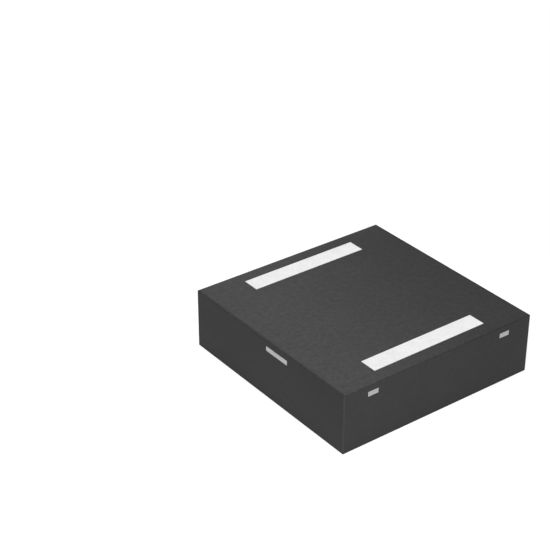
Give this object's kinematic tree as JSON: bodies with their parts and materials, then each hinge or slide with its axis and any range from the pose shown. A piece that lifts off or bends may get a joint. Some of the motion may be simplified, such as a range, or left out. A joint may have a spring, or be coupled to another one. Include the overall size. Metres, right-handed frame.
{
  "type": "surge protection thyristor",
  "caption": "Square leadless moulded package with two long soldering pads on one face, holding a thyristor chip between a copper lead frame and a bent copper clip.",
  "frame": {"origin": "centre of the blank marking face, on which the part lies with its terminals up", "axes": "+Z from the marking face to the terminal face, +Y from terminal 1, which carries the chip, to terminal 2, +X along the pads. To seat it on a board, turn it half a turn about Y."},
  "size_m": [0.0032, 0.0032, 0.0009],
  "materials": {
    "mould_compound": "charcoal epoxy moulding compound with a fine matt grain",
    "tin": "matt electroplated tin, near white",
    "frame_copper": "rolled copper alloy with etched edges",
    "clip_copper": "stamped and bent copper strip",
    "silicon": "sawn silicon, blue grey",
    "moat_glass": "fused passivation glass, cloudy green",
    "contact_nickel": "plated nickel",
    "solder": "dull high-lead solder"
  },
  "bodies": {
    "root": {"mould_body": "mould_compound", "terminal_1_frame": "frame_copper", "terminal_2_frame": "frame_copper", "terminal_1_pad_tin": "tin", "terminal_2_pad_tin": "tin", "terminal_1_left_tie_tin": "tin", "terminal_1_right_tie_tin": "tin", "terminal_2_left_tie_tin": "tin", "terminal_2_right_tie_tin": "tin", "side_left_tie_tin": "tin", "side_right_tie_tin": "tin", "chip_solder": "solder", "chip": "silicon", "chip_frame_side_glass": "moat_glass", "chip_clip_side_glass": "moat_glass", "chip_frame_side_contact": "contact_nickel", "chip_clip_side_contact": "contact_nickel", "clip_solder": "solder", "clip": "clip_copper", "foot_solder": "solder"}
  },
  "joints": []
}
